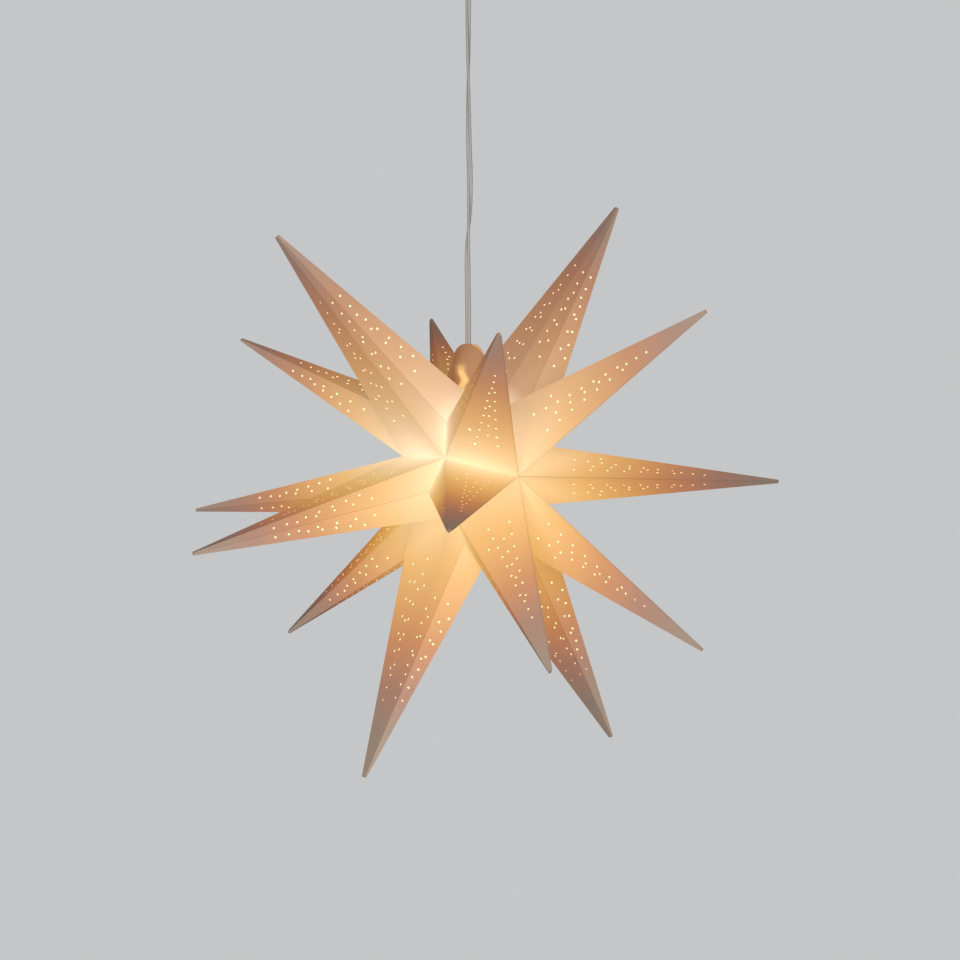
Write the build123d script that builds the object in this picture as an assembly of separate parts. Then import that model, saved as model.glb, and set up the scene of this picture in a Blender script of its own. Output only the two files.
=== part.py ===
from build123d import *
import os
from math import cos, pi, radians, sin, sqrt, tan

# A fold-flat paper star lantern with eighteen points, hung from a ceiling bracket on a flat twin flex.
# Millimetres and degrees, +Z up. The origin is the middle of the ceiling bracket's top face, and the front
# of the star looks along -Y. The star is six gores round a level axis. Each gore has a front, a middle and
# a back point and is made of two card pages glued along their outer edges. Neighbouring gores are glued
# along the valley edges near the lamp, apart from the seam at the top, which snaps shut round the holder.

# ---------------------------------------------------------------- driving dimensions
# Star
star_drop = 540.0  # bracket's top face down to the star's centre
gore_azimuths = (45.1, 103.6, 157.6, 212.4, 270.0, 328.4)  # from straight up, turning towards -X
star_pitch = 1.7  # how far the front pole dips below level
outer_tip_radius = 300.0  # star's centre to the end of a front or back point
outer_tip_polar = 37.2  # angle of those points from the star's axis
middle_tip_radius = 309.0  # star's centre to the end of a middle point
pole_radius = 77.7  # where all pages meet, at the front and back of the axis
valley_radius = 70.2  # where the valley between two gores changes direction
valley_polar = 57.1
notch_radius = 74.1  # where the outer edge dips between two points of one gore
notch_polar = 69.2
tip_cut = 12.0  # length of sharp tip that the die leaves off each point
card = 0.4  # thickness of the card
perforation_radius = 1.1
# Closing tabs on the two end pages
tab_rise = 125.0  # star's centre up to the top of the tabs
tab_shoulder = 104.0  # star's centre up to where the tabs lean in over the holder
bell_half_width = 30.0  # half the width of the part of a tab that bulges round the holder
tab_cord_gap = 0.5  # tab's top edge to the cord
stud_shank_radius = 1.4
stud_flange_radius = 3.0
stud_flange_thickness = 0.7
stud_socket_thickness = 1.6
stud_height = 82.0  # star's centre up to the snap fasteners
# Lamp holder, E14
holder_radius = 13.5
holder_wall = 1.6
holder_seat_gap = 0.3  # holder to the tabs that hang on it
cap_skirt = 8.0  # straight part of the cap below its dome
shell_length = 40.0
shell_neck = 6.0  # part of the shell that screws into the cap
insert_flange = 2.0
insert_length = 16.0
insert_radius = 9.5
sleeve_radius = 7.0  # inside the holder's threaded sleeve
sleeve_wall = 0.4
sleeve_length = 16.0
grip_collar_radius = 5.5
grip_collar_length = 7.0
holder_grip_screw_radius = 1.5
terminal_screw_radius = 1.5
terminal_screw_head_radius = 2.4
terminal_screw_head_length = 1.6
terminal_spread = 6.0  # holder's axis to each terminal screw
wire_radius = 0.6
contact_strip = 0.4  # thickness of the sprung tongue that the bulb's tip meets
contact_width = 3.0
contact_reach = 5.0  # holder's axis to the tongue's fixed end
contact_drop = 3.0  # how far the tongue hangs below its fixed end
# Bulb, E14 round bulb
bulb_radius = 22.5
bulb_length = 78.0
bulb_glass_wall = 0.8
bulb_neck_radius = 7.9
bulb_cap_length = 15.0
bulb_cap_wall = 0.5
bulb_cap_rim = 3.0  # height of the cap's rim round the glass neck
bulb_contact_radius = 2.4
bulb_contact_height = 1.2
bulb_insulator_height = 3.2
bulb_insulator_radius = 5.0
bulb_insulator_margin = 0.6  # insulator round the tip contact
bulb_stem_radius = 3.6
bulb_stem_flare = 6.0  # height of the cone at the stem's foot
filament_radius = 0.9
filament_length = 26.0
filament_circle = 6.5
filament_count = 4
# Cord, drawn as a round tube that the flat twisting flex fits in
cord_radius = 2.7
cord_clearance = 0.3
cord_end_spare = 2.0  # cord above the anchor, where its two cores part
# Ceiling fitting
cup_radius = 40.0
cup_height = 48.0
cup_wall = 2.0
cup_shoulder = 16.0
nipple_radius = 7.0
nipple_length = 14.0
cup_screw_radius = 1.5
cup_screw_head_radius = 2.4
cup_screw_head_length = 2.5
cup_screw_gap = 0.5  # nipple to the screw's head
cup_screw_height = 11.0  # nipple's mouth up to its grip screw
bracket_length = 70.0
bracket_width = 14.0
bracket_thickness = 1.5
bracket_hole_spacing = 50.0
bracket_hole_radius = 2.25
bracket_leg_drop = 36.0
anchor_width = 16.0
anchor_depth = 12.0
anchor_height = 12.0
anchor_screw_radius = 1.5
anchor_screw_head_radius = 1.9
anchor_screw_head_length = 1.6
anchor_screw_spread = 5.2
block_length = 20.0
block_width = 12.0
block_height = 10.0
block_pole_spacing = 9.0
block_bore_radius = 2.0
block_sleeve_wall = 0.6
block_screw_radius = 1.1
terminal_margin = 1.0  # block past its brass sleeves, at each end
running_clearance = 0.05
face_gap = 0.1  # between faces that just miss each other

# ---------------------------------------------------------------- places worked out from them
middle_polar = 90.0
half_card = card / 2
gore_neighbours = zip(gore_azimuths[-1:] + gore_azimuths, gore_azimuths)
seam_azimuths = [(a + b - 360 * (a > b)) / 2 for a, b in gore_neighbours]
seam_azimuths.append(seam_azimuths[0] + 360)
seam_arm = valley_radius * sin(radians(valley_polar))  # star's axis to the level part of a valley
star_centre = Vector(seam_arm * sin(radians(seam_azimuths[0])), 0, -star_drop)  # open seam is under the cord
tab_half_width = valley_radius * cos(radians(valley_polar))
tab_bulge = holder_radius + holder_seat_gap
tab_top_bulge = cord_radius + tab_cord_gap
# The cap's dome touches the leaning part of the tabs, bar the seat gap.
lean = Vector(tab_top_bulge - tab_bulge, tab_rise - tab_shoulder).normalized()
dome_height = tab_shoulder - (tab_bulge - lean.Y * tab_bulge) / -lean.X
dome_z = star_centre.Z + dome_height  # centre of the cap's dome
cap_bottom = dome_z - cap_skirt
shell_bottom = cap_bottom - shell_length
shell_neck_top = cap_bottom + shell_neck
insert_bottom = shell_neck_top - insert_length
sleeve_top = insert_bottom + sleeve_length / 2
contact_z = sleeve_top - contact_drop  # holder's tongue meets the bulb's tip here
bulb_centre_z = contact_z - bulb_length + bulb_radius
nipple_mouth = -cup_height - nipple_length
bend_z = star_centre.Z + tab_rise  # the cord bends where it leaves the tabs, as the lamp tips
holder_inside = holder_radius - holder_wall
collar_top = dome_z + sqrt(holder_inside**2 - grip_collar_radius**2) - face_gap
collar_bottom = collar_top - grip_collar_length
anchor_top = -bracket_leg_drop + anchor_height
anchor_screw_z = anchor_top - anchor_height / 2
anchor_screw_places = (-anchor_screw_spread, anchor_screw_spread)
leg_y = anchor_depth / 2  # bracket's leg stands against the back of the anchor
block_z = -bracket_thickness - block_height / 2
block_poles = (-block_pole_spacing / 2, block_pole_spacing / 2)
stud_z = star_centre.Z + stud_height
stud_places = [side * (bell_half_width + tab_half_width) / 2 for side in (-1, 1)]
tip_bottom = contact_z - bulb_contact_height
insulator_bottom = tip_bottom - bulb_insulator_height
cap_rim_z = insulator_bottom - bulb_cap_length
neck_high = cap_rim_z - 2 * face_gap
neck_low = cap_rim_z - bulb_cap_rim - bulb_glass_wall
stem_bottom = bulb_centre_z + filament_length / 2 + 2 * wire_radius + face_gap


# ---------------------------------------------------------------- small helpers
def rod(radius, low, high, x=0.0, y=0.0):
    """Upright cylinder between two heights."""
    return Pos(x, y, (low + high) / 2) * Cylinder(radius, high - low)


def ring(outer, inner, low, high):
    """Upright tube between two heights."""
    return rod(outer, low, high) - rod(inner, low - 1, high + 1)


def peg(radius, start, end, y, z):
    """Cylinder along X."""
    return Pos((start + end) / 2, y, z) * Rot(0, 90, 0) * Cylinder(radius, end - start)


def peg_y(radius, start, end, x, z):
    """Cylinder along Y."""
    return Pos(x, (start + end) / 2, z) * Rot(90, 0, 0) * Cylinder(radius, end - start)


def turned(points):
    """Solid turned round the Z axis from a closed outline of (radius, height) points."""
    return revolve(make_face(Plane.XZ * Polyline(*points, close=True)), Axis.Z)


def wire_run(points, radius):
    """Round wire through points, with soft corners."""
    path = FilletPolyline(*points, radius=2.5 * radius)
    return sweep((path ^ 0) * Circle(radius), path)


def plane_of(a, b, c):
    """Plane through three points, as its normal and its offset from the origin."""
    normal = (b - a).cross(c - a).normalized()
    return normal, normal.dot(a)


def shifted(plane, distance):
    """Plane moved along its normal."""
    return plane[0], plane[1] + distance


def meeting_point(one, two, three):
    """Point where three planes cross."""
    (n1, d1), (n2, d2), (n3, d3) = one, two, three
    total = n2.cross(n3) * d1 + n3.cross(n1) * d2 + n1.cross(n2) * d3
    return total / n1.dot(n2.cross(n3))


# ---------------------------------------------------------------- paper star
# A page is seven creased triangles. Each is named by its two inner corners and its tip.
page_faces = (
    ("front_pole", "front_valley", "front_tip"),
    ("front_notch", "front_valley", "front_tip"),
    ("front_notch", "front_valley", "middle_tip"),
    ("front_valley", "back_valley", "middle_tip"),
    ("back_notch", "back_valley", "middle_tip"),
    ("back_notch", "back_valley", "back_tip"),
    ("back_pole", "back_valley", "back_tip"),
)
outer_edge = {"front_pole", "front_tip", "front_notch", "middle_tip", "back_notch", "back_tip", "back_pole"}
valley_edge = {"front_pole", "front_valley", "back_valley", "back_pole"}
# Perforations, in rows: first hole, last hole, number of holes. A hole's place is its share of the way
# from the face's base to its tip, and its share of the way across from the first inner corner.
broad_rows = (
    ((0.195, 0.29), (0.59, 0.40), 7),
    ((0.26, 0.47), (0.48, 0.50), 4),
    ((0.17, 0.66), (0.575, 0.57), 8),
    ((0.27, 0.80), (0.32, 0.82), 1),
    ((0.615, 0.50), (0.71, 0.44), 3),
)
narrow_rows = (
    ((0.27, 0.40), (0.58, 0.38), 5),
    ((0.34, 0.78), (0.55, 0.55), 5),
    ((0.625, 0.48), (0.68, 0.52), 2),
)


def star_point(radius, polar, azimuth):
    """Point at a distance from the star's centre, at an angle from its front pole and round from the top."""
    p, t = radians(polar), radians(azimuth)
    level = Vector(-sin(p) * sin(t), -cos(p), sin(p) * cos(t)) * radius
    return star_centre + level.rotate(Axis.X, star_pitch)


def page_corners(gore_azimuth, seam_azimuth):
    """Corners of a page's creased triangles, with the points drawn out to their sharp apex."""
    outer, middle = outer_tip_radius + tip_cut, middle_tip_radius + tip_cut
    return {
        "front_pole": star_point(pole_radius, 0, 0),
        "front_valley": star_point(valley_radius, valley_polar, seam_azimuth),
        "front_notch": star_point(notch_radius, notch_polar, gore_azimuth),
        "front_tip": star_point(outer, outer_tip_polar, gore_azimuth),
        "middle_tip": star_point(middle, middle_polar, gore_azimuth),
        "back_tip": star_point(outer, 180 - outer_tip_polar, gore_azimuth),
        "back_notch": star_point(notch_radius, 180 - notch_polar, gore_azimuth),
        "back_valley": star_point(valley_radius, 180 - valley_polar, seam_azimuth),
        "back_pole": star_point(pole_radius, 180, 0),
    }


def outward_plane(corners, names):
    """Plane of a creased triangle, with its normal away from the middle of its point."""
    a, b, tip = (corners[name] for name in names)
    normal, offset = plane_of(a, b, tip)
    along = (tip - star_centre).normalized()
    middle = (a + b + tip) / 3 - star_centre
    away = middle - along * middle.dot(along)
    return (normal, offset) if normal.dot(away) > 0 else (-normal, -offset)


def mitre(corners, names, edge, gore_plane, seam_plane):
    """Plane that ends a triangle's card at one of its edges."""
    if set(edge) <= valley_edge:
        return seam_plane
    if set(edge) <= outer_edge:
        return gore_plane
    both = [outward_plane(corners, face) for face in page_faces if set(edge) <= set(face)]
    start, end = (corners[name] for name in edge)
    normal = (end - start).cross(both[0][0] + both[1][0]).normalized()
    return normal, normal.dot(start)


def polyhedron_slab(inner, outer):
    """Solid between two rings of corners that face each other."""
    walls = [Face(Wire.make_polygon(inner)), Face(Wire.make_polygon(outer))]
    for i in range(len(inner)):
        walls.append(Face(Wire.make_polygon([inner[i - 1], inner[i], outer[i], outer[i - 1]])))
    return Solid(Shell(walls))


def perforations(a, b, tip, face, rows, flip):
    """Cutters for the round holes of one triangle, centred on the middle of its card."""
    normal, offset = face
    cutters = []
    for (along_0, across_0), (along_1, across_1), count in rows:
        for i in range(count):
            share = i / max(count - 1, 1)
            along = along_0 + (along_1 - along_0) * share
            across = across_0 + (across_1 - across_0) * share
            across = 1 - across if flip else across
            place = a + (b - a) * (across * (1 - along)) + (tip - a) * along
            centre = place - normal * (normal.dot(place) - offset)
            base = Plane(origin=centre - normal * card, z_dir=normal)
            cutters.append(Solid.make_cylinder(perforation_radius, 2 * card, base))
    return cutters


def triangle_plate(corners, names, gore_plane, seam_plane, flip):
    """Card of one creased triangle, mitred to its neighbours, blunt at its tip and perforated."""
    face = outward_plane(corners, names)
    a, b, apex = (corners[name] for name in names)
    along = (apex - star_centre).normalized()
    blunt_end = apex - along * tip_cut
    edges = ((names[0], names[1]), (names[1], names[2]), (names[2], names[0]))
    base, side, other = (mitre(corners, names, edge, gore_plane, seam_plane) for edge in edges)
    bounds = [base, side, (along, along.dot(blunt_end)), other]
    rings = []
    for level in (-half_card, half_card):
        surface = shifted(face, level)
        rings.append([meeting_point(surface, bounds[i - 1], bounds[i]) for i in range(len(bounds))])
    broad = names[0] not in ("front_notch", "back_notch")
    turn_over = flip and names[2] == "middle_tip" and broad
    rows = broad_rows if broad else narrow_rows
    cutters = perforations(a, b, blunt_end, face, rows, turn_over)
    return polyhedron_slab(*rings).cut(*cutters)


def tab_outline(bulge, offset):
    """Plan of a tab: flat at both ends, bulging round the holder in the middle."""
    half = bell_half_width
    bell = Spline(
        (offset, -half), (offset + bulge / 2, -half / 2), (offset + bulge, 0), (offset + bulge / 2, half / 2),
        (offset, half), tangents=[(0, 1), (0, 1)],
    )
    flats = [Line((offset, side * tab_half_width), (offset, side * half)) for side in (-1, 1)]
    return [flats[0], bell, flats[1]]


def tab_section(bulge, height):
    """Cross-section of a tab's card at a height."""
    inner, outer = tab_outline(bulge, 0), tab_outline(bulge, card)
    ends = [Line((0, y), (card, y)) for y in (-tab_half_width, tab_half_width)]
    return Pos(0, 0, height) * make_face([*inner, *outer, *ends])


def closing_tab(valley_face):
    """Arched tab that stands up from the open seam on the +X side, down to the page's inner surface."""
    centre_z = star_centre.Z
    low, high = centre_z + seam_arm - 2 * tab_bulge, centre_z + tab_rise
    levels = ((tab_bulge, low), (tab_bulge, centre_z + tab_shoulder), (tab_top_bulge, high))
    sheet = loft([tab_section(bulge, z) for bulge, z in levels], ruled=True)
    arch_z = high - tab_half_width
    arch = Pos(0, 0, (low + arch_z) / 2) * Box(4 * tab_bulge, 2 * tab_half_width, arch_z - low)
    arch += peg(tab_half_width, -2 * tab_bulge, 2 * tab_bulge, 0, arch_z)
    normal, offset = valley_face
    reach = 4 * tab_half_width
    below = Plane(origin=normal * (offset - half_card), z_dir=normal) * Pos(0, 0, -reach) * Box(
        8 * reach, 8 * reach, 2 * reach
    )
    return (sheet & arch) - below


def mouth():
    """Space between the two tabs, up to the middle of their card, on the +X side."""
    curve = tab_outline(tab_bulge, half_card)[1]
    closing = [
        Line((half_card, -bell_half_width), (-card, -bell_half_width)),
        Line((-card, -bell_half_width), (-card, bell_half_width)),
        Line((-card, bell_half_width), (half_card, bell_half_width)),
    ]
    plan = make_face([curve, *closing])
    return Pos(0, 0, star_centre.Z) * extrude(plan, tab_rise)


def across_x(shape, side):
    """Shape as it is for the +X side, or mirrored for the -X side."""
    return shape if side > 0 else mirror(shape, Plane.YZ)


def star_page(number):
    """One page. Pages are numbered from the open seam, two to a gore."""
    gore, second = divmod(number - 1, 2)
    gore_azimuth, seam_azimuth = gore_azimuths[gore], seam_azimuths[gore + second]
    corners = page_corners(gore_azimuth, seam_azimuth)
    poles = corners["front_pole"], corners["back_pole"]
    gore_plane = plane_of(*poles, corners["middle_tip"])
    seam_plane = plane_of(*poles, corners["front_valley"])
    end_side = {1: -1, 2 * len(gore_azimuths): 1}.get(number, 0)
    plates = []
    for names in page_faces:
        level_valley = names == ("front_valley", "back_valley", "middle_tip")
        upright = (Vector(1, 0, 0), 0.0)
        edge_plane = upright if end_side and level_valley else seam_plane
        plates.append(triangle_plate(corners, names, gore_plane, edge_plane, not second))
    page = plates[0].fuse(*plates[1:])
    if end_side:
        valley_face = outward_plane(corners, page_faces[3])
        normal, offset = valley_face
        facing = (Vector(normal.X * end_side, normal.Y, normal.Z), offset)
        tab = across_x(closing_tab(facing), end_side)
        page = Compound([page]) - across_x(mouth(), end_side) + tab
        hole_radius = stud_shank_radius + (3 * running_clearance if end_side > 0 else 0)
        for y in stud_places:
            page -= peg(hole_radius, -2 * card, 2 * card, y, stud_z)
    return page


def stud_posts():
    """Male halves of the snap fasteners, riveted through the tab of page 1."""
    posts = []
    for y in stud_places:
        flange = peg(stud_flange_radius, -card - stud_flange_thickness, -card, y, stud_z)
        posts.append(flange + peg(stud_shank_radius, -card, card + stud_socket_thickness, y, stud_z))
    return posts


def stud_sockets():
    """Female halves of the snap fasteners, on the outside of the tab of page 12."""
    bore = stud_shank_radius + running_clearance
    sockets = []
    for y in stud_places:
        socket = peg(stud_flange_radius, card, card + stud_socket_thickness, y, stud_z)
        sockets.append(socket - peg(bore, 0, card + 2 * stud_socket_thickness, y, stud_z))
    return sockets


# ---------------------------------------------------------------- lamp holder
def holder_cap():
    """Domed cap with the cord's entry in its top."""
    outside = Pos(0, 0, dome_z) * Sphere(holder_radius) + rod(holder_radius, cap_bottom, dome_z)
    inside = Pos(0, 0, dome_z) * Sphere(holder_inside) + rod(holder_inside, cap_bottom - 1, dome_z)
    body = outside - inside - rod(cord_radius + cord_clearance, dome_z, dome_z + holder_radius + 1)
    return body - rod(holder_radius + 1, cap_bottom - holder_radius - 1, cap_bottom)


def holder_shell():
    """Plain skirt round the bulb's cap, with a neck that screws into the cap."""
    neck_radius = holder_inside - running_clearance
    neck_inside = neck_radius - holder_wall
    skirt = ring(holder_radius, holder_inside, shell_bottom, cap_bottom)
    shoulder = ring(holder_radius, neck_inside, cap_bottom - holder_wall, cap_bottom)
    return skirt + shoulder + ring(neck_radius, neck_inside, cap_bottom - holder_wall, shell_neck_top)


def holder_insert():
    """Insulating core: a flange held between cap and shell, and a body that carries the sleeve."""
    flange = rod(holder_inside - 2 * running_clearance, shell_neck_top, shell_neck_top + insert_flange)
    body = rod(insert_radius, insert_bottom, shell_neck_top)
    recess = rod(sleeve_radius + sleeve_wall, insert_bottom - 1, sleeve_top)
    core = flange + body - recess
    for x in (-terminal_spread, terminal_spread):
        core -= rod(terminal_screw_radius, sleeve_top, shell_neck_top + insert_flange + 1, x)
    return core


def holder_screw_sleeve():
    """Brass sleeve that the bulb's cap screws into."""
    return ring(sleeve_radius + sleeve_wall, sleeve_radius, sleeve_top - sleeve_length, sleeve_top)


def holder_centre_contact():
    """Sprung tongue: fixed flat under the insert, bent down to the bulb's tip."""
    bend, toe, tip = contact_reach * 0.5, contact_reach * 0.7, -contact_reach * 0.3
    tongue = Polyline(
        (-contact_reach, sleeve_top), (bend, sleeve_top), (toe, contact_z), (tip, contact_z),
        (tip, contact_z + contact_strip), (toe - contact_strip, contact_z + contact_strip),
        (bend - contact_strip, sleeve_top - contact_strip), (-contact_reach, sleeve_top - contact_strip),
        close=True,
    )
    return extrude(Plane.XZ * make_face(tongue), contact_width / 2, both=True)


def holder_terminal_screws():
    """Two screws through the insert that clamp the cores."""
    under_head = shell_neck_top + insert_flange + 2 * wire_radius
    screws = []
    for x in (-terminal_spread, terminal_spread):
        head = rod(terminal_screw_head_radius, under_head, under_head + terminal_screw_head_length, x)
        screws.append(head + rod(terminal_screw_radius, sleeve_top + 5 * face_gap, under_head, x))
    return screws


def holder_cord_grip():
    """Nylon collar under the dome, with a cross hole for its screw."""
    collar = ring(grip_collar_radius, cord_radius + running_clearance, collar_bottom, collar_top)
    z = (collar_top + collar_bottom) / 2
    return collar - peg(holder_grip_screw_radius + running_clearance, 0, grip_collar_radius + 1, 0, z)


def holder_grip_screw():
    """Headless screw through the collar's wall that pinches the cord."""
    z = (collar_top + collar_bottom) / 2
    start, end = cord_radius + running_clearance, grip_collar_radius + holder_grip_screw_radius
    return peg(holder_grip_screw_radius, start, end, 0, z)


def holder_wires():
    """The two cores from the end of the cord to the terminals."""
    top = shell_neck_top + insert_flange + wire_radius
    wires = []
    for side in (-1, 1):
        start = (side * cord_radius / 2, 0, collar_bottom)
        elbow = (side * cord_radius / 2, 0, top)
        end = (side * (terminal_spread - terminal_screw_radius), 0, top)
        wires.append(wire_run([start, elbow, end], wire_radius))
    return wires


# ---------------------------------------------------------------- bulb
def bulb_body(inset):
    """Round glass with a conical neck, taken in by a wall thickness."""
    radius, neck = bulb_radius - inset, bulb_neck_radius - inset
    root = 1.5 * bulb_neck_radius - inset
    root_z = bulb_centre_z + sqrt(radius**2 - root**2)
    cone = Pos(0, 0, (neck_low + root_z) / 2) * Cone(root, neck, neck_low - root_z)
    return Pos(0, 0, bulb_centre_z) * Sphere(radius) + cone + rod(neck, neck_low, neck_high)


def bulb_glass():
    """Envelope, open at the neck where it is cemented into the cap."""
    return bulb_body(0) - bulb_body(bulb_glass_wall)


def bulb_cap():
    """Threaded cap: a thin shell from the insulator down to a flared rim round the neck."""
    wall, flare_z = bulb_cap_wall, cap_rim_z + bulb_cap_rim / 2
    outer = sleeve_radius - running_clearance
    hole = bulb_contact_radius + 2 * wall
    rim = bulb_neck_radius + running_clearance + wall
    shoulder_z = insulator_bottom - 2 * wall
    return turned([
        (hole, insulator_bottom), (outer, shoulder_z), (outer, flare_z), (rim, cap_rim_z),
        (rim, cap_rim_z - bulb_cap_rim), (rim - wall, cap_rim_z - bulb_cap_rim), (rim - wall, cap_rim_z),
        (outer - wall, flare_z), (outer - wall, shoulder_z - wall), (hole, insulator_bottom - wall),
    ])


def bulb_cap_insulator():
    """Black cone between the cap and the tip contact."""
    upper, height = bulb_contact_radius + bulb_insulator_margin, bulb_insulator_height
    return Pos(0, 0, insulator_bottom + height / 2) * Cone(bulb_insulator_radius, upper, height)


def bulb_tip_contact():
    """Solder button at the top of the bulb."""
    return rod(bulb_contact_radius, tip_bottom, contact_z)


def bulb_stem():
    """Glass mount that carries the filaments, flared out to the neck."""
    flare_bottom = neck_high - bulb_stem_flare
    foot = bulb_neck_radius - bulb_glass_wall - running_clearance
    flare = Pos(0, 0, (neck_high + flare_bottom) / 2) * Cone(bulb_stem_radius, foot, bulb_stem_flare)
    return flare + rod(bulb_stem_radius, stem_bottom, flare_bottom)


def filament_places():
    """Where the filaments stand round the bulb's axis."""
    step = 360 / filament_count
    return [Vector(filament_circle, 0, 0).rotate(Axis.Z, step * (i + 0.5)) for i in range(filament_count)]


def bulb_filaments():
    """Upright rods coated in phosphor."""
    low, high = bulb_centre_z - filament_length / 2, bulb_centre_z + filament_length / 2
    return [rod(filament_radius, low, high, place.X, place.Y) for place in filament_places()]


def bulb_leads():
    """Wire spiders that hold the filaments: one under the stem, one at their lower ends."""
    spiders = []
    for end in (-1, 1):
        z = bulb_centre_z + end * (filament_length / 2 + wire_radius)
        hub_top = stem_bottom if end > 0 else z + wire_radius
        spider = rod(2 * wire_radius, z - wire_radius, hub_top)
        for place in filament_places():
            arm = Solid.make_cylinder(wire_radius, filament_circle, Plane(origin=(0, 0, z), z_dir=place))
            spider += arm
        spiders.append(spider)
    return spiders


# ---------------------------------------------------------------- cord
# The flex keeps slight waves from its coil. They lie in one upright plane, as height and shift pairs.
wave_azimuth = 32.5  # from +X towards -Y
cord_waves = ((-170, 0.0), (-214, 0.4), (-258, 1.8), (-290, 1.4), (-318, -0.8), (-352, -0.6), (-388, 0.0))


def cord_route():
    """Points of the taut cord, from just above the anchor down to the tabs."""
    across = Vector(cos(radians(wave_azimuth)), -sin(radians(wave_azimuth)), 0)
    waves = [across * shift + Vector(0, 0, z) for z, shift in cord_waves]
    return [Vector(0, 0, anchor_top + cord_end_spare), *waves, Vector(0, 0, bend_z)]


def corner_radii(points):
    """The largest arc that each corner's two runs allow."""
    radii = []
    for before, corner, after in zip(points, points[1:], points[2:]):
        inward, onward = corner - before, after - corner
        turn = radians(inward.get_angle(onward))
        radii.append(0.45 * min(inward.length, onward.length) / tan(turn / 2))
    return radii


def cord():
    """Taut stretch from above the anchor to the tabs, with a rounded lower end that the lamp tips about."""
    points = cord_route()
    radii = corner_radii(points)
    print("cord radii", [round(r) for r in radii])
    path = FilletPolyline(*points, radius=radii)
    tube = sweep((path ^ 0) * Circle(cord_radius), path)
    print("cord volume over section times length", tube.volume / (pi * cord_radius**2 * path.length))
    return tube + Pos(0, 0, bend_z) * Sphere(cord_radius)


def cord_end():
    """The last of the cord, between the tabs and down through the grip in the holder."""
    return rod(cord_radius, collar_bottom, bend_z - cord_radius - cord_clearance)


# ---------------------------------------------------------------- ceiling fitting
def bowl(radius, corner_radius, bottom, top):
    """Solid cup shape with a rounded lower edge."""
    flat = radius - corner_radius
    shape = rod(radius, bottom + corner_radius, top) + rod(flat, bottom, top)
    return shape + Pos(0, 0, bottom + corner_radius) * Torus(flat, corner_radius)


def ceiling_cup():
    """Cup over the wiring, with a nipple that slides on the cord."""
    outside = bowl(cup_radius, cup_shoulder, -cup_height, 0)
    outside += rod(nipple_radius, nipple_mouth, -cup_height / 2)
    inside = bowl(cup_radius - cup_wall, cup_shoulder - cup_wall, -cup_height + cup_wall, 1)
    cord_hole = rod(cord_radius + cord_clearance, nipple_mouth - 1, 0)
    screw_z = nipple_mouth + cup_screw_height
    screw_hole = peg(cup_screw_radius + running_clearance, 0, nipple_radius + 1, 0, screw_z)
    return outside - inside - cord_hole - screw_hole


def cup_grip_screw():
    """Thumb screw in the nipple that holds the cup up on the cord."""
    z = nipple_mouth + cup_screw_height
    head_start = nipple_radius + cup_screw_gap
    shank = peg(cup_screw_radius, cord_radius + face_gap, head_start, 0, z)
    return shank + peg(cup_screw_head_radius, head_start, head_start + cup_screw_head_length, 0, z)


def ceiling_bracket():
    """Steel strap with two screw holes and a leg bent down for the cord anchor."""
    mid_z, leg_back = -bracket_thickness / 2, leg_y + bracket_thickness
    bracket = Pos(0, 0, mid_z) * Box(bracket_length, bracket_width, bracket_thickness)
    leg = Box(anchor_width, bracket_thickness, bracket_leg_drop)
    bracket += Pos(0, leg_y + bracket_thickness / 2, -bracket_leg_drop / 2) * leg
    bracket += Pos(0, leg_back / 2, mid_z) * Box(anchor_width, leg_back, bracket_thickness)
    for x in (-bracket_hole_spacing / 2, bracket_hole_spacing / 2):
        bracket -= rod(bracket_hole_radius, -2 * bracket_thickness, bracket_thickness, x)
    for x in anchor_screw_places:
        bracket -= peg_y(anchor_screw_radius, 0, 2 * leg_back, x, anchor_screw_z)
    return bracket


def cord_anchor():
    """Block that clamps the cord to the bracket's leg and takes the lamp's weight."""
    block = Pos(0, 0, anchor_screw_z) * Box(anchor_width, anchor_depth, anchor_height)
    block -= rod(cord_radius + running_clearance, anchor_top - anchor_height - 1, anchor_top + 1)
    for x in anchor_screw_places:
        block -= peg_y(anchor_screw_radius, -anchor_depth, anchor_depth, x, anchor_screw_z)
    return block


def anchor_screws():
    """Two screws through the anchor into the bracket's leg."""
    front, end = -anchor_depth / 2, leg_y + 2 * bracket_thickness
    screws = []
    for x in anchor_screw_places:
        shank = peg_y(anchor_screw_radius, front, end, x, anchor_screw_z)
        head = peg_y(anchor_screw_head_radius, front - anchor_screw_head_length, front, x, anchor_screw_z)
        screws.append(shank + head)
    return screws


def block_screw_places():
    """Where the terminal block's screws stand, two to a pole."""
    return [(x, y) for x in block_poles for y in (-block_width / 4, block_width / 4)]


def terminal_block():
    """Two-pole block under the bracket, with a bore and two screw holes for each pole."""
    half_width = (block_width + terminal_margin) / 2
    block = Pos(0, -terminal_margin / 2, block_z) * Box(block_length, block_width, block_height)
    for x in block_poles:
        block -= peg_y(block_bore_radius, -2 * half_width, 2 * half_width, x, block_z)
    for x, y in block_screw_places():
        block -= rod(block_screw_radius + running_clearance, block_z - block_height, block_z, x, y)
    return block


def terminal_sleeves():
    """Brass sleeves in the block's bores."""
    half_length = block_width / 2 - terminal_margin
    sleeves = []
    for x in block_poles:
        sleeve = peg_y(block_bore_radius, -half_length, half_length, x, block_z)
        sleeve -= peg_y(block_bore_radius - block_sleeve_wall, -block_width, block_width, x, block_z)
        for place in block_screw_places():
            sleeve -= rod(block_screw_radius + running_clearance, block_z - block_height, block_z, *place)
        sleeves.append(sleeve)
    return sleeves


def terminal_block_screws():
    """Four screws that clamp the cores, two to a pole."""
    low, high = block_z - block_height / 2 - 5 * face_gap, block_z - wire_radius - face_gap
    return [rod(block_screw_radius, low, high, x, y) for x, y in block_screw_places()]


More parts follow.
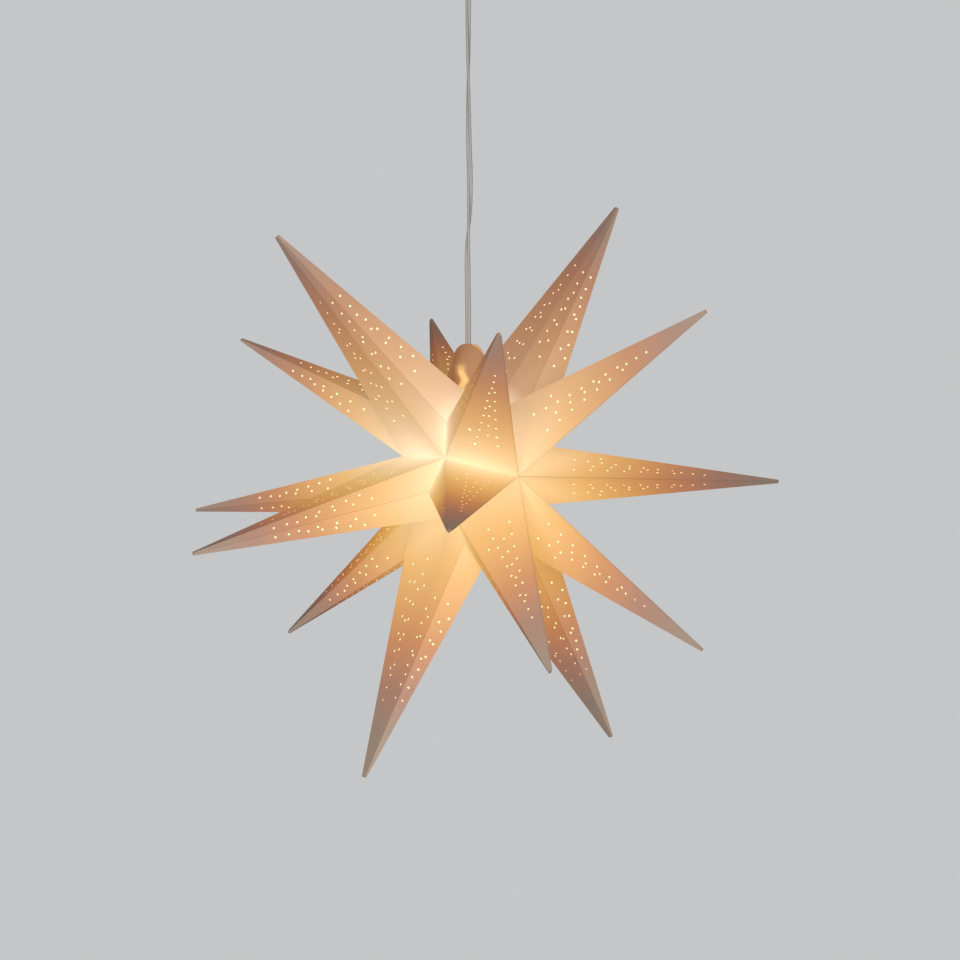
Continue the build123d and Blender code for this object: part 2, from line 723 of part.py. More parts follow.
def ceiling_wires():
    """The two cores from the top of the cord to the terminal block."""
    front_y = -block_width / 2 - 6 * wire_radius
    lift = 5 * wire_radius
    wires = []
    for side, x in zip((-1, 1), block_poles):
        start = Vector(side * cord_radius / 2, 0, anchor_top + cord_end_spare)
        above = start + Vector(0, 0, lift)
        front = Vector(x, front_y, above.Z)
        turn = Vector(x, front_y, block_z)
        wires.append(wire_run([start, above, front, turn, Vector(x, -1, block_z)], wire_radius))
    return wires


# ---------------------------------------------------------------- write the parts
makers = (
    stud_posts, stud_sockets, holder_cap, holder_shell, holder_insert, holder_screw_sleeve,
    holder_centre_contact, holder_terminal_screws, holder_cord_grip, holder_grip_screw, holder_wires,
    bulb_glass, bulb_cap, bulb_cap_insulator, bulb_tip_contact, bulb_stem, bulb_filaments, bulb_leads,
    cord, cord_end, ceiling_cup, cup_grip_screw, ceiling_bracket, cord_anchor, anchor_screws,
    terminal_block, terminal_sleeves, terminal_block_screws, ceiling_wires,
)


def write(name, made):
    """Write one sub-part; a group of separate solids shares a file."""
    shapes = made if isinstance(made, list) else [made]
    solids = [solid for shape in shapes for solid in shape.solids()]
    whole = solids[0] if len(solids) == 1 else Compound(solids)
    whole.label = name
    export_step(whole, f"parts/{name}.step")


os.makedirs("parts", exist_ok=True)
for page_number in range(1, 2 * len(gore_azimuths) + 1):
    write(f"star_page_{page_number:02d}", star_page(page_number))
for maker in makers:
    write(maker.__name__, maker())
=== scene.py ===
from math import cos, pi, radians, sin, sqrt

import bmesh
import bpy
from bpy.props import FloatProperty, FloatVectorProperty, IntProperty, PointerProperty
from bpy.types import Operator, Panel, PropertyGroup
from mathutils import Matrix, Vector


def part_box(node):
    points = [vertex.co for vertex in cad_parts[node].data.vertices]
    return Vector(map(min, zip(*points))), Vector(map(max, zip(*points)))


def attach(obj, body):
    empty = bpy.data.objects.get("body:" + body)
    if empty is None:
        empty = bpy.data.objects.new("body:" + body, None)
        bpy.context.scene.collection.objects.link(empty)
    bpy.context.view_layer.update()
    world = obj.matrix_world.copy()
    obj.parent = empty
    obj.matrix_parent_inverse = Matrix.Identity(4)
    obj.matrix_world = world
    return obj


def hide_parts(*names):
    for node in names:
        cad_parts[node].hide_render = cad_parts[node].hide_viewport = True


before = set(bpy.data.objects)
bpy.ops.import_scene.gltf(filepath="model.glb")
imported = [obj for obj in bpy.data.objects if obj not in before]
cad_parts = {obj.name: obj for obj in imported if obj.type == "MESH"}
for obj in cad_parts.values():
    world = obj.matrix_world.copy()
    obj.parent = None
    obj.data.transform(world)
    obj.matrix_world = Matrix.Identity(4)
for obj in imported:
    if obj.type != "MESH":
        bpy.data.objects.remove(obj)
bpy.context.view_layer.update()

bl_info = {
    "name": "Paper star pendant",
    "version": (1, 0, 0),
    "blender": (4, 5, 0),
    "location": "View3D > Sidebar > Star",
    "description": "Dresses a fold-flat paper star lantern, its lamp, flex and ceiling cup",
    "category": "Object",
}

# ---------------------------------------------------------------- places, in metres
PAGE_NODES = [f"star_page_{number:02d}" for number in range(1, 13)]
STAR_CENTRE = Vector((0.00693, 0.0, -0.540))
STAR_PITCH = radians(1.7)
GORE_AZIMUTHS = (45.1, 103.6, 157.6, 212.4, 270.0, 328.4)
BULB_LOW, BULB_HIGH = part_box("bulb_glass")
BULB_RADIUS = (BULB_HIGH.x - BULB_LOW.x) / 2
BULB_CENTRE = Vector((0.0, 0.0, BULB_LOW.z + BULB_RADIUS))
CORD_END_LOW, CORD_END_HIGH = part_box("cord_end")
SOCKETS_LOW, SOCKETS_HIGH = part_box("stud_sockets")
POSTS_LOW, POSTS_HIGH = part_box("stud_posts")
CAP_LOW, CAP_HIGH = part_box("bulb_cap")
CAP_WALL = 0.0005
CAP_NECK = CAP_LOW.z + 0.003
CAP_THREAD_LOW, CAP_THREAD_HIGH = CAP_NECK + 0.0015, CAP_HIGH.z - 0.0013
SLEEVE_LOW, SLEEVE_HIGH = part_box("holder_screw_sleeve")
SLEEVE_WALL = 0.0004
THREAD_PLAY = 0.00005
CAP_RADIUS = SLEEVE_HIGH.x - SLEEVE_WALL - THREAD_PLAY
THREAD_RUN_OUT = 0.0012
THUMB_LOW, THUMB_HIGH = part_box("cup_grip_screw")
THUMB_HEAD_LENGTH = 0.0025
THUMB_SHANK_RADIUS = 0.0015
KNURL_DEPTH = 0.00016

# The tabs stand up from the pages' inner edges. The pages beside them rise at this slope.
TAB_FOOT = STAR_CENTRE.z + 0.061
TAB_SLOPE = 1.3
# The painted light that leaks up beside the lamp holder ends at this height.
LEAK_TOP = TAB_FOOT + 0.046

# The flex hangs from just above its anchor to the top of the tabs. Its slight waves lie in one upright plane.
CORD_TOP, CORD_BOTTOM = -0.022, -0.415
WAVE_AZIMUTH = radians(32.5)
CORD_WAVES = (
    (-0.170, 0.0), (-0.214, 0.0004), (-0.258, 0.0018), (-0.290, 0.0014),
    (-0.318, -0.0008), (-0.352, -0.0006), (-0.388, 0.0),
)
# How far round the flex has twisted at each height, in degrees.
CORD_TWIST = (
    (-0.022, 0), (-0.084, 12), (-0.127, 52), (-0.158, 90), (-0.190, 130), (-0.250, 180),
    (-0.288, 228), (-0.305, 270), (-0.320, 312), (-0.350, 352), (-0.440, 372),
)

CAMERA_AZIMUTH = radians(-32.5)
CAMERA_DISTANCE = 2.80
CAMERA_AIM_RIGHT, CAMERA_AIM_DOWN = 0.0054, 0.0057
HALF_FIELD_TANGENT = 0.1648
# Where each soft lamp stands from the star: forward along the camera's view, to its right, and up.
KEY_PLACE = (-3.1, -0.25, 0.1)
BACK_PLACE = (2.6, 0.9, 0.7)
LAMP_SIZE = 1.6
FLOOR_RADIUS = 1.42


# ---------------------------------------------------------------- settings
class PaperSettings(PropertyGroup):
    # The card colours are the card as it looks lit from inside. The tip colour is its own beige, set dimmer:
    # partly painted shade. The half-way and middle colours are painted lamplight.
    tip_colour: FloatVectorProperty(
        name="Card at the tips", description="Colour of the card where little lamplight reaches it",
        subtype="COLOR", size=3, min=0, max=1, default=(0.46, 0.345, 0.265),
    )
    warm_colour: FloatVectorProperty(
        name="Card half way", description="Colour of the card where lamplight stains it tan",
        subtype="COLOR", size=3, min=0, max=1, default=(0.40, 0.275, 0.185),
    )
    core_colour: FloatVectorProperty(
        name="Card at the middle", description="Colour of the card next to the lamp",
        subtype="COLOR", size=3, min=0, max=1, default=(0.60, 0.42, 0.28),
    )
    # The tabs' colour is painted lamplight, darker for painted shade of the holder beside them.
    tab_colour: FloatVectorProperty(
        name="Card of the tabs", description="Colour of the tabs that hold the lamp holder",
        subtype="COLOR", size=3, min=0, max=1, default=(0.41, 0.250, 0.150),
    )
    # The glow and inner glow scale the painted glow of the card.
    glow: FloatProperty(
        name="Glow", description="Strength of the lamplight that comes through the card", min=0, default=1.0,
    )
    inner_glow: FloatProperty(
        name="Inner glow", description="Strength of the lamplight on the inside of the card",
        min=0, default=1.0,
    )
    holder_shade: FloatProperty(
        name="Holder's shade", description="How much of the light straight up the lamp holder keeps back",
        subtype="FACTOR", min=0, max=1, default=0.95,
    )
    seam_width: FloatProperty(
        name="Seam width", description="Half the width of the darker line where two pages are glued",
        unit="LENGTH", subtype="DISTANCE", min=0.0001, default=0.0007,
    )
    fibre_size: FloatProperty(
        name="Fibre size", description="Width of the fibres that show in the card", unit="LENGTH",
        subtype="DISTANCE", min=0.0001, default=0.0011,
    )
    cloud_size: FloatProperty(
        name="Cloud size", description="Width of the denser clouds in the card when it is lit from behind",
        unit="LENGTH", subtype="DISTANCE", min=0.001, default=0.009,
    )


class LampSettings(PropertyGroup):
    thread_pitch: FloatProperty(
        name="Thread pitch", description="Rise of the lamp thread for each turn",
        unit="LENGTH", subtype="DISTANCE", min=0.001, default=0.00282,
    )
    thread_depth: FloatProperty(
        name="Thread depth", description="Depth of the rolled lamp thread",
        unit="LENGTH", subtype="DISTANCE", min=0.0, default=0.0007,
    )
    plastic_colour: FloatVectorProperty(
        name="Holder plastic", description="Colour of the moulded lamp holder",
        subtype="COLOR", size=3, min=0, max=1, default=(0.80, 0.78, 0.72),
    )
    filament_glow: FloatProperty(
        name="Filament glow", description="Strength of the light from the filaments", min=0, default=12.0,
    )


class FlexSettings(PropertyGroup):
    width: FloatProperty(
        name="Flex width", description="Width of the flat twin flex", unit="LENGTH", subtype="DISTANCE",
        min=0.001, default=0.0056,
    )
    thickness: FloatProperty(
        name="Flex thickness", description="Thickness of the flat twin flex", unit="LENGTH",
        subtype="DISTANCE", min=0.001, default=0.0028,
    )
    colour: FloatVectorProperty(
        name="Flex colour", description="Colour of the sheath", subtype="COLOR", size=3, min=0, max=1,
        default=(0.37, 0.355, 0.335),
    )


class CeilingSettings(PropertyGroup):
    plastic_colour: FloatVectorProperty(
        name="Cup plastic", description="Colour of the ceiling cup", subtype="COLOR", size=3, min=0, max=1,
        default=(0.78, 0.765, 0.72),
    )
    knurl_count: IntProperty(
        name="Knurls", description="Ridges round the head of the thumb screw", min=6, max=60, default=24,
    )


class StudioSettings(PropertyGroup):
    backdrop_colour: FloatVectorProperty(
        name="Backdrop", description="Colour of the floor and of what lies behind", subtype="COLOR", size=3,
        min=0, max=1, default=(0.56, 0.565, 0.57),
    )
    floor_height: FloatProperty(
        name="Floor height", description="Height of the floor under the lamp", unit="LENGTH",
        subtype="DISTANCE", max=0, default=-1.30,
    )
    key_power: FloatProperty(
        name="Key light", description="Power of the large soft lamp in front", subtype="POWER", min=0,
        default=86.0,
    )
    back_power: FloatProperty(
        name="Back light", description="Power of the soft lamp behind", subtype="POWER", min=0, default=30.0,
    )
    sky: FloatProperty(
        name="Ambient light", description="Even light from all round", min=0, default=0.10,
    )


SETTINGS = {
    "paper": PaperSettings, "lamp": LampSettings, "flex": FlexSettings,
    "ceiling": CeilingSettings, "studio": StudioSettings,
}


def settings(group):
    """The values that the panel shows for one group of pieces."""
    return getattr(bpy.context.scene, f"star_{group}")


# ---------------------------------------------------------------- materials
class Finish:
    """A material under construction, round one Principled shader."""

    def __init__(self, name, **sockets):
        self.material = bpy.data.materials.new(name)
        self.material.use_nodes = True
        self.tree = self.material.node_tree
        self.shader = self.tree.nodes["Principled BSDF"]
        for socket, value in sockets.items():
            self.shader.inputs[socket.replace("_", " ")].default_value = value
        self.place = self.add("ShaderNodeTexCoord").outputs["Object"]

    def add(self, kind, *inputs, **options):
        """A node with its options set and its first inputs linked or filled in."""
        node = self.tree.nodes.new(kind)
        for option, value in options.items():
            setattr(node, option, value)
        for index, value in enumerate(inputs):
            if isinstance(value, bpy.types.NodeSocket):
                self.tree.links.new(value, node.inputs[index])
            elif value is not None:
                node.inputs[index].default_value = value
        return node

    def maths(self, operation, *values):
        """Result of a sum on numbers."""
        return self.add("ShaderNodeMath", *values, operation=operation).outputs[0]

    def vector_maths(self, operation, *values):
        """Result of a sum on directions or places."""
        node = self.add("ShaderNodeVectorMath", *values, operation=operation)
        return node.outputs["Value" if operation in ("LENGTH", "DOT_PRODUCT") else "Vector"]

    def noise(self, size, detail=4.0, roughness=0.55, stretch=(1, 1, 1)):
        """Cloudy noise whose features are about that size, in metres."""
        scaled = self.add("ShaderNodeMapping", self.place)
        scaled.inputs["Scale"].default_value = [s / size for s in stretch]
        node = self.add("ShaderNodeTexNoise", scaled.outputs[0])
        node.inputs["Scale"].default_value = 1.0
        node.inputs["Detail"].default_value = detail
        node.inputs["Roughness"].default_value = roughness
        return node.outputs["Fac"]

    def span(self, value, low, high, to_low=0.0, to_high=1.0):
        """Value mapped from one range to another and kept inside it."""
        return self.add("ShaderNodeMapRange", value, low, high, to_low, to_high).outputs[0]

    def ramp(self, value, *stops):
        """Colour that follows a value through (position, colour) stops."""
        node = self.add("ShaderNodeValToRGB", value)
        elements = node.color_ramp.elements
        while len(elements) < len(stops):
            elements.new(0.5)
        for element, (position, colour) in zip(elements, stops):
            element.position = position
            element.color = (*colour, 1.0)
        return node.outputs["Color"]

    def mix(self, share, first, second, blend="MIX"):
        """Two colours mixed by a share."""
        node = self.add("ShaderNodeMix", data_type="RGBA", blend_type=blend)
        sockets = [node.inputs[0], node.inputs[6], node.inputs[7]]
        for socket, value in zip(sockets, (share, first, second)):
            if isinstance(value, bpy.types.NodeSocket):
                self.tree.links.new(value, socket)
            else:
                socket.default_value = value if isinstance(value, float) else (*value, 1.0)
        return node.outputs[2]

    def by_distance(self, distance, *stops):
        """Colour that follows a distance through (metres, colour) stops."""
        near, far = stops[0][0], stops[-1][0]
        share = self.span(distance, near, far)
        return self.ramp(share, *(((place - near) / (far - near), colour) for place, colour in stops))

    def tinted(self, colour, strength):
        """Colour made darker or brighter by a value."""
        node = self.add("ShaderNodeVectorMath", colour, operation="SCALE")
        if isinstance(strength, bpy.types.NodeSocket):
            self.tree.links.new(strength, node.inputs["Scale"])
        else:
            node.inputs["Scale"].default_value = strength
        return node.outputs["Vector"]

    def drive(self, socket, output):
        """Let a value that varies over the surface set one of the shader's inputs."""
        self.tree.links.new(output, self.shader.inputs[socket])

    def bump(self, height, distance, strength=1.0):
        """Surface relief from a height between 0 and 1, of that depth in metres."""
        node = self.add("ShaderNodeBump")
        node.inputs["Strength"].default_value = strength
        node.inputs["Distance"].default_value = distance
        self.tree.links.new(height, node.inputs["Height"])
        self.drive("Normal", node.outputs["Normal"])


def shaded(colour, factor):
    """Colour with each of its parts made darker or brighter by the same factor."""
    return tuple(part * factor for part in colour)


def gore_plane(azimuth):
    """Directions along and across the flat plane in which a gore's two pages are glued."""
    t = radians(azimuth)
    tilt = Matrix.Rotation(STAR_PITCH, 3, "X")
    return tilt @ Vector((-sin(t), 0, cos(t))), tilt @ Vector((cos(t), 0, sin(t)))


def glued_seams(finish, from_centre, width):
    """1 on the lines where two pages are glued edge to edge, and 0 elsewhere."""
    seams = None
    for azimuth in GORE_AZIMUTHS:
        along, across = gore_plane(azimuth)
        aside = finish.vector_maths("DOT_PRODUCT", from_centre, tuple(across))
        line = finish.span(finish.maths("ABSOLUTE", aside), 0.4 * width, width, 1.0, 0.0)
        ahead = finish.vector_maths("DOT_PRODUCT", from_centre, tuple(along))
        line = finish.maths("MULTIPLY", line, finish.maths("GREATER_THAN", ahead, 0.0))
        seams = line if seams is None else finish.maths("MAXIMUM", seams, line)
    return seams


def tab_leak(finish):
    """Where the tabs are, and the wavy upright streak of painted light that leaks up between them and the
    holder.
    """
    axes = finish.add("ShaderNodeSeparateXYZ", finish.place).outputs
    aside = finish.maths("ABSOLUTE", axes["X"])
    above_pages = finish.maths("MULTIPLY_ADD", aside, -TAB_SLOPE, axes["Z"])
    tab = finish.span(above_pages, TAB_FOOT, TAB_FOOT + 0.004)
    wave = finish.noise(0.012, detail=1.0, stretch=(0.2, 0.2, 1))
    offset = finish.maths("MULTIPLY_ADD", wave, 0.010, 0.0025)
    from_streak = finish.maths("ABSOLUTE", finish.maths("ADD", axes["Y"], offset))
    streak = finish.span(from_streak, 0.0018, 0.0052, 1.0, 0.0)
    below_top = finish.span(axes["Z"], LEAK_TOP, LEAK_TOP - 0.010)
    return tab, finish.maths("MULTIPLY", streak, below_top)


def card_finish():
    """Uncoated card lit from inside by painted glow: the lamplight in it is painted as emission that fades
    with distance from the bulb.
    """
    paper = settings("paper")
    finish = Finish("card", Roughness=0.88, Specular_IOR_Level=0.25, Emission_Strength=1.0)
    clouds = finish.noise(paper.cloud_size, detail=5.0, roughness=0.6)
    fibres = finish.noise(paper.fibre_size, detail=3.0, roughness=0.7, stretch=(1, 0.35, 1))
    from_bulb = finish.vector_maths("SUBTRACT", finish.place, tuple(BULB_CENTRE))
    distance = finish.vector_maths("LENGTH", from_bulb)
    uneven = finish.maths("MULTIPLY_ADD", clouds, 0.014, -0.007)
    reach = finish.maths("ADD", distance, uneven)
    normal = finish.add("ShaderNodeTexCoord").outputs["Normal"]
    from_centre = finish.vector_maths("SUBTRACT", finish.place, tuple(STAR_CENTRE))
    outside = finish.maths("GREATER_THAN", finish.vector_maths("DOT_PRODUCT", normal, from_centre), 0.0)
    seams = glued_seams(finish, from_centre, paper.seam_width)
    tab, streak = tab_leak(finish)

    # Painted lamplight in the base colour: from the dim beige at the tips the card turns tan and then cream
    # towards the bulb.
    body = finish.by_distance(
        reach, (0.060, paper.core_colour), (0.130, shaded(paper.warm_colour, 1.2)),
        (0.200, paper.warm_colour), (0.250, shaded(paper.tip_colour, 0.86)), (0.300, paper.tip_colour),
    )
    # On the tabs the base colour is a darker tan: painted lamplight with painted shade of the holder.
    body = finish.mix(tab, body, paper.tab_colour)
    speckle = finish.span(fibres, 0.3, 0.7, 0.94, 1.03)
    seam_tone = finish.span(seams, 0.0, 1.0, 1.0, 0.88)
    finish.drive("Base Color", finish.tinted(body, finish.maths("MULTIPLY", speckle, seam_tone)))

    # The holder stands over the bulb, so the points beside it get less light than those below, and redder.
    upward = finish.add("ShaderNodeSeparateXYZ", finish.vector_maths("NORMALIZE", from_bulb)).outputs["Z"]
    under_holder = finish.maths("POWER", finish.span(upward, -0.35, 1.0), 1.2)
    under_holder = finish.maths("MULTIPLY", under_holder, finish.span(distance, 0.045, 0.070))
    shade_share = finish.maths("MULTIPLY", under_holder, paper.holder_shade)
    shade = finish.mix(shade_share, (1.0, 1.0, 1.0), (0.28, 0.06, 0.0))
    # Painted glow: the lamplight that comes through the card is emission painted by distance from the bulb,
    # dimmed and reddened under the holder.
    through = finish.by_distance(
        reach, (0.045, (0.68, 0.60, 0.46)), (0.065, (0.56, 0.48, 0.31)), (0.090, (0.52, 0.39, 0.18)),
        (0.130, (0.50, 0.28, 0.05)), (0.170, (0.42, 0.175, 0.012)), (0.210, (0.29, 0.07, 0.001)),
        (0.250, (0.12, 0.012, 0.0)), (0.295, (0.0, 0.0, 0.0)),
    )
    through = finish.mix(1.0, through, shade, "MULTIPLY")
    # Painted light on the tabs: a dim glow and a brighter wavy streak where light leaks up beside the holder.
    leak = finish.mix(streak, (0.13, 0.038, 0.001), (0.66, 0.42, 0.12))
    through = finish.mix(tab, through, leak)
    # Along the glued seams the double card lets less of the painted glow through.
    through = finish.tinted(through, finish.span(seams, 0.0, 1.0, paper.glow, 0.76 * paper.glow))
    # Painted glow on the inside of the card, which shows through its holes.
    direct = finish.by_distance(
        reach, (0.060, (1.0, 0.92, 0.68)), (0.200, (1.0, 0.84, 0.52)), (0.245, (0.95, 0.70, 0.36)),
        (0.275, (0.28, 0.12, 0.04)), (0.300, (0.05, 0.02, 0.008)),
    )
    # Inside the tabs the painted glow is dimmer and browner: painted shade of the holder.
    direct = finish.mix(tab, direct, (0.40, 0.25, 0.10))
    direct = finish.tinted(direct, paper.inner_glow)
    glow = finish.mix(outside, direct, through)
    glow = finish.tinted(glow, finish.span(clouds, 0.3, 0.7, 0.93, 1.05))
    finish.drive("Emission Color", glow)
    finish.bump(finish.maths("ADD", fibres, clouds), 0.00012, 0.6)
    return finish.material


def moulded_finish(name, colour, roughness=0.38, grain=0.0006):
    """Moulded plastic with a fine satin grain and faint flow marks."""
    finish = Finish(name, Roughness=roughness, Specular_IOR_Level=0.5)
    grain_noise = finish.noise(grain, detail=2.0)
    flow = finish.noise(0.018, detail=3.0, stretch=(1, 1, 0.4))
    finish.drive("Base Color", finish.ramp(flow, (0.3, shaded(colour, 0.94)), (0.7, shaded(colour, 1.03))))
    finish.drive("Roughness", finish.span(flow, 0.3, 0.7, roughness - 0.05, roughness + 0.08))
    finish.bump(grain_noise, 0.00002, 0.25)
    return finish.material


def metal_finish(name, colour, roughness):
    """Worked metal with fine drawing marks and slight tarnish."""
    finish = Finish(name, Metallic=1.0, Roughness=roughness)
    marks = finish.noise(0.0009, detail=4.0, stretch=(1, 1, 14))
    tarnish = finish.noise(0.006, detail=5.0, roughness=0.65)
    finish.drive("Base Color", finish.ramp(tarnish, (0.32, shaded(colour, 0.72)), (0.62, colour)))
    finish.drive("Roughness", finish.span(marks, 0.3, 0.7, roughness - 0.08, roughness + 0.14))
    finish.bump(marks, 0.00002, 0.5)
    return finish.material


def sheath_finish():
    """Soft PVC of the flex: satin and a little uneven."""
    flex = settings("flex")
    finish = Finish("flex_sheath", Roughness=0.42, Specular_IOR_Level=0.45)
    uneven = finish.noise(0.004, detail=4.0, stretch=(1, 1, 0.25))
    colour = finish.ramp(uneven, (0.3, shaded(flex.colour, 0.9)), (0.7, shaded(flex.colour, 1.05)))
    finish.drive("Base Color", colour)
    finish.drive("Roughness", finish.span(uneven, 0.3, 0.7, 0.36, 0.5))
    finish.bump(finish.noise(0.0012, detail=3.0), 0.00005, 0.5)
    return finish.material


def glass_finish():
    """Clear thin glass of the bulb."""
    finish = Finish(
        "bulb_glass", Roughness=0.02, IOR=1.45, Transmission_Weight=1.0, Base_Color=(0.98, 0.96, 0.92, 1.0),
    )
    finish.bump(finish.noise(0.02, detail=2.0), 0.0002, 0.3)
    return finish.material


def filament_finish():
    """Phosphor rods, alight."""
    finish = Finish("filament_phosphor", Roughness=0.6, Emission_Strength=settings("lamp").filament_glow)
    beads = finish.noise(0.0012, detail=2.0)
    finish.drive("Base Color", finish.ramp(beads, (0.3, (0.85, 0.58, 0.16)), (0.7, (0.95, 0.72, 0.28))))
    finish.drive("Emission Color", finish.ramp(beads, (0.3, (1.0, 0.58, 0.22)), (0.7, (1.0, 0.70, 0.34))))
    return finish.material


def insulation_finish():
    """Core insulation: brown on one wire, blue on the other, told apart by side."""
    finish = Finish("core_insulation", Roughness=0.45)
    side = finish.add("ShaderNodeSeparateXYZ", finish.place).outputs["X"]
    uneven = finish.noise(0.002)
    brown = finish.ramp(uneven, (0.3, (0.16, 0.07, 0.03)), (0.7, (0.22, 0.10, 0.045)))
    blue = finish.ramp(uneven, (0.3, (0.03, 0.10, 0.30)), (0.7, (0.05, 0.15, 0.40)))
    finish.drive("Base Color", finish.mix(finish.maths("GREATER_THAN", side, 0.0), brown, blue))
    return finish.material


def dress(names, material):
    """Give CAD nodes a finish."""
    for name in names:
        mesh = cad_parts[name].data
        mesh.materials.clear()
        mesh.materials.append(material)


def soften(name, width):
    """Break the sharp edges of a CAD node with a small rounding."""
    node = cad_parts[name]
    weld = node.modifiers.new("joined corners", "WELD")
    weld.merge_threshold = 5e-6
    bevel = node.modifiers.new("broken edges", "BEVEL")
    bevel.width = width
    bevel.segments = 3
    bevel.limit_method = "ANGLE"
    bevel.angle_limit = radians(30)
    bevel.use_clamp_overlap = True
    bevel.harden_normals = True


# ---------------------------------------------------------------- mesh helpers
def new_piece(name, mesh_builder, material, body, replaced):
    """Smooth object from a bmesh, which rides on a body, has a slot and stands for a CAD node."""
    mesh = bpy.data.meshes.new(name)
    mesh_builder.normal_update()
    mesh_builder.to_mesh(mesh)
    mesh_builder.free()
    for polygon in mesh.polygons:
        polygon.use_smooth = True
    mesh.materials.append(material)
    piece = bpy.data.objects.new(name, mesh)
    bpy.context.scene.collection.objects.link(piece)
    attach(piece, body)
    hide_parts(replaced)
    return piece


def skin(builder, rings):
    """Closed tube through rings of points that have the same number of corners."""
    loops = [[builder.verts.new(point) for point in ring] for ring in rings]
    for near, far in zip(loops, loops[1:]):
        for i in range(len(near)):
            builder.faces.new((near[i - 1], near[i], far[i], far[i - 1]))
    builder.faces.new(loops[0][::-1])
    builder.faces.new(loops[-1])


def lathe(builder, profile, place=Matrix.Identity(4), steps=64, ripple=None):
    """Closed solid turned round Z from (radius, height) points and put in its place.

    The ripple gives a point's radius from its plain radius, its height and the turn it has reached.
    """
    loops = []
    for i in range(steps):
        turn = 2 * pi * i / steps
        loop = []
        for radius, height in profile:
            r = radius if ripple is None else ripple(radius, height, turn)
            loop.append(builder.verts.new(place @ Vector((r * cos(turn), r * sin(turn), height))))
        loops.append(loop)
    for near, far in zip([loops[-1], *loops], loops):
        for j in range(len(profile)):
            builder.faces.new((near[j - 1], far[j - 1], far[j], near[j]))
    bmesh.ops.remove_doubles(builder, verts=builder.verts, dist=1e-7)
    bmesh.ops.recalc_face_normals(builder, faces=builder.faces)


def lying_along_x(x, y, z):
    """Place at a point, with what stood along Z laid along X."""
    return Matrix.Translation((x, y, z)) @ Matrix.Rotation(pi / 2, 4, "Y")


def evenly(start, end, steps):
    """Values from start to end, both included, in that many even steps."""
    return [start + (end - start) * i / steps for i in range(steps + 1)]


def smoothly(points, x):
    """Value at x on a smooth curve through (x, value) points, with x falling along the list."""
    for index, ((x0, y0), (x1, y1)) in enumerate(zip(points, points[1:])):
        if x0 >= x >= x1:
            before = points[max(index - 1, 0)]
            after = points[min(index + 2, len(points) - 1)]
            start_slope = (y1 - before[1]) / (x1 - before[0])
            end_slope = (after[1] - y0) / (after[0] - x0)
            run = x1 - x0
            t = (x - x0) / run
            return (
                (2 * t**3 - 3 * t**2 + 1) * y0 + (t**3 - 2 * t**2 + t) * run * start_slope
                + (-2 * t**3 + 3 * t**2) * y1 + (t**3 - t**2) * run * end_slope
            )
    return points[0][1] if x > points[0][0] else points[-1][1]


# ---------------------------------------------------------------- flex
def flex_section(width, thickness, turn, steps=14):
    """Outline of two cores side by side with a groove between them, turned about the flex."""
    radius = thickness / 2
    offset = width / 2 - radius
    waist = radians(38)
    outline = []
    for side in (1, -1):
        for i in range(steps):
            a = -pi + waist + (2 * pi - 2 * waist) * i / (steps - 1)
            outline.append(Vector((side * (offset + radius * cos(a)), side * radius * sin(a), 0)))
    return [point @ Matrix.Rotation(-turn, 3, "Z") for point in outline]


def flex_line():
    """Points along the hanging flex, read from one smooth spline over its route."""
    across = Vector((cos(WAVE_AZIMUTH), -sin(WAVE_AZIMUTH), 0))
    route = [Vector((0, 0, CORD_TOP))]
    route += [across * shift + Vector((0, 0, height)) for height, shift in CORD_WAVES]
    route.append(Vector((0, 0, CORD_BOTTOM)))
    curve = bpy.data.curves.new("flex_route", "CURVE")
    curve.dimensions = "3D"
    curve.resolution_u = 24
    spline = curve.splines.new("NURBS")
    spline.points.add(len(route) - 1)
    for point, place in zip(spline.points, route):
        point.co = (*place, 1.0)
    spline.order_u = 3
    spline.use_endpoint_u = True
    holder = bpy.data.objects.new("flex_route", curve)
    bpy.context.scene.collection.objects.link(holder)
    mesh = bpy.data.meshes.new_from_object(holder)
    line = [vertex.co.copy() for vertex in mesh.vertices]
    bpy.data.objects.remove(holder)
    bpy.data.curves.remove(curve)
    bpy.data.meshes.remove(mesh)
    return line


def flex_rings(line, rounding_bottom=0.0, rounding_top=0.0):
    """Rings of a flex along a nearly upright line, with rounded ends where asked."""
    flex = settings("flex")
    rings = []
    for point in line:
        shrink = 1.0
        for reach, end in ((rounding_bottom, line[-1].z), (rounding_top, line[0].z)):
            depth = abs(point.z - end)
            if reach and depth < reach:
                shrink = min(shrink, sqrt(max(1 - (1 - depth / reach) ** 2, 0.004)))
        turn = radians(smoothly(CORD_TWIST, point.z)) + CAMERA_AZIMUTH
        section = flex_section(flex.width * shrink, flex.thickness * shrink, turn)
        rings.append([point + corner for corner in section])
    return rings


class STAR_OT_flex(Operator):
    """Hang the flat twin flex, twisted as it comes off its coil, with its end in the lamp holder"""

    bl_idname = "star.flex"
    bl_label = "Hang the flex"

    def execute(self, context):
        flex = settings("flex")
        material = sheath_finish()
        line = flex_line()
        end_round = flex.thickness / 2
        lowest = line[-1].z
        whole = line + [Vector((0, 0, z)) for z in evenly(lowest, lowest - end_round, 5)[1:]]
        builder = bmesh.new()
        skin(builder, flex_rings(whole, rounding_bottom=end_round))
        cord = new_piece("hanging_flex", builder, material, "ceiling", "cord")
        short = [Vector((0, 0, z)) for z in evenly(CORD_END_HIGH.z, CORD_END_LOW.z, 16)]
        builder = bmesh.new()
        skin(builder, flex_rings(short, rounding_top=end_round))
        new_piece("flex_in_holder", builder, material, "cord_tail", "cord_end")
        return {"FINISHED"}


# ---------------------------------------------------------------- star
class STAR_OT_pages(Operator):
    """Finish the twelve creased pages as card with a painted glow from inside"""

    bl_idname = "star.pages"
    bl_label = "Finish the pages"

    def execute(self, context):
        dress(PAGE_NODES, card_finish())
        return {"FINISHED"}


